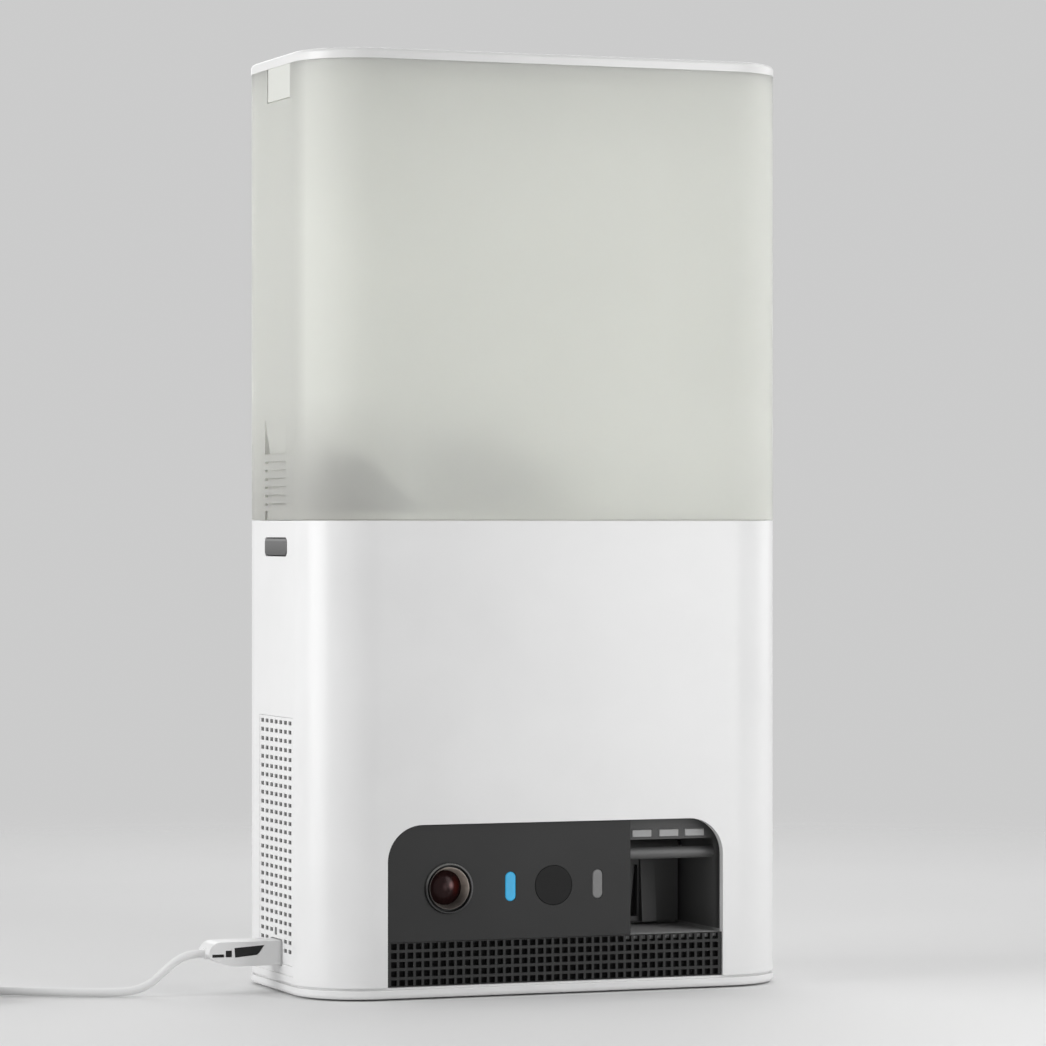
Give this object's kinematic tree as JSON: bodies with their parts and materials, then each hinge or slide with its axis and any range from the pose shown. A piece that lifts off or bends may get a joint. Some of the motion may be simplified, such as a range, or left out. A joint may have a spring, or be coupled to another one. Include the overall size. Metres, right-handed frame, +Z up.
{
  "type": "treat tossing pet camera",
  "caption": "Free-standing pet camera: white housing with camera window, lift-off frosted treat hopper with feeder wheel, swinging kicker in a launch chute, and a USB power lead.",
  "frame": {"origin": "centre of the housing's base, on the floor", "axes": "+X to the right as seen from the front, -Y to the front where the camera window is, +Z up"},
  "size_m": [0.2962, 0.0764, 0.27],
  "materials": {
    "white_plastic": "smooth satin",
    "ivory_plastic": "moulded, matt",
    "frosted_plastic": "frosted, translucent",
    "dark_plastic": "fine matt grain",
    "black_plastic": "smooth",
    "grey_plastic": "matt",
    "light_grey_plastic": "matt",
    "status_blue": "diffuser, lit",
    "status_grey": "diffuser, unlit",
    "steel": "machined",
    "brown_metal": "satin",
    "lens_glass": "polished",
    "circuit_board": "solder mask",
    "rubber": "matt",
    "speaker_paper": "matt",
    "cloth": "woven",
    "cord_sheath": "smooth satin"
  },
  "bodies": {
    "housing": {"base_plate": "white_plastic", "rubber_feet": "rubber", "base_screws": "steel", "chassis_posts": "ivory_plastic", "body_shell": "white_plastic", "front_panel": "dark_plastic", "speaker_grille": "dark_plastic", "grille_cloth": "cloth", "side_vent_grille": "white_plastic", "top_deck": "ivory_plastic", "deck_screws": "steel", "launch_chute": "dark_plastic", "chute_inserts": "light_grey_plastic", "chute_guard_bar": "grey_plastic", "drop_tube": "ivory_plastic", "lens_ring": "black_plastic", "lens_trim": "brown_metal", "lens_dome": "lens_glass", "lens_barrel": "black_plastic", "camera_board": "circuit_board", "status_light_blue": "status_blue", "status_light_grey": "status_grey", "sensor_window": "black_plastic", "led_board": "circuit_board", "speaker_frame": "black_plastic", "speaker_cone": "speaker_paper", "main_board": "circuit_board", "board_clips": "ivory_plastic", "port_board": "circuit_board", "usb_port": "steel", "feeder_motor": "steel", "kicker_motor": "steel", "motor_cradle": "ivory_plastic", "usb_plug_grip": "white_plastic", "usb_plug_core": "black_plastic", "usb_plug_tip": "steel", "power_cord": "cord_sheath", "cord_coil": "cord_sheath", "cord_tail": "cord_sheath", "usb_a_grip": "white_plastic", "usb_a_shell": "steel", "usb_a_tongue": "black_plastic"},
    "left_release": {"release_button_left": "grey_plastic"},
    "right_release": {"release_button_right": "grey_plastic"},
    "reset": {"reset_button": "black_plastic"},
    "kicker_arm": {"kicker": "dark_plastic", "kicker_shaft": "steel", "kicker_gear": "ivory_plastic"},
    "pinion": {"kicker_pinion": "steel"},
    "hopper_unit": {"hopper": "frosted_plastic", "hopper_floor": "ivory_plastic", "drop_hood": "frosted_plastic"},
    "wheel": {"feeder_wheel": "dark_plastic"},
    "dog": {"drive_dog": "ivory_plastic"},
    "lid_unit": {"lid": "white_plastic", "lid_seal": "rubber"}
  },
  "joints": [
    {"name": "hopper_lift", "type": "slide", "parent": "housing", "child": "hopper_unit", "axis": [0, 0, 1], "range_m": [0, 0.09]},
    {"name": "lid_lift", "type": "slide", "parent": "hopper_unit", "child": "lid_unit", "axis": [0, 0, 1], "range_m": [0, 0.04]},
    {"name": "left_release_press", "type": "slide", "parent": "housing", "child": "left_release", "axis": [1, 0, 0], "range_m": [0, 0.0016], "stiffness_N_per_m": 600},
    {"name": "right_release_press", "type": "slide", "parent": "housing", "child": "right_release", "axis": [-1, 0, 0], "range_m": [0, 0.0016], "stiffness_N_per_m": 600},
    {"name": "reset_press", "type": "slide", "parent": "housing", "child": "reset", "axis": [1, 0, 0], "range_m": [0, 0.0004], "stiffness_N_per_m": 300},
    {"name": "kicker_swing", "type": "hinge", "parent": "housing", "child": "kicker_arm", "pos_m": [0.036, -0.0055, 0.039], "axis": [-1, 0, 0], "range_deg": [0, 62]},
    {"name": "pinion_spin", "type": "hinge", "parent": "housing", "child": "pinion", "pos_m": [0.017, 0.01, 0.039], "axis": [-1, 0, 0], "range_deg": [-133, 0]},
    {"name": "wheel_spin", "type": "hinge", "parent": "hopper_unit", "child": "wheel", "pos_m": [-0.018, 0, 0.14], "axis": [0, 0, 1], "continuous": true},
    {"name": "dog_spin", "type": "hinge", "parent": "housing", "child": "dog", "pos_m": [-0.018, 0, 0.13], "axis": [0, 0, 1], "continuous": true}
  ],
  "couplings": [
    {"joint": "pinion_spin", "follows": "kicker_swing", "ratio": -2.1429},
    {"joint": "dog_spin", "follows": "wheel_spin", "ratio": 1}
  ]
}
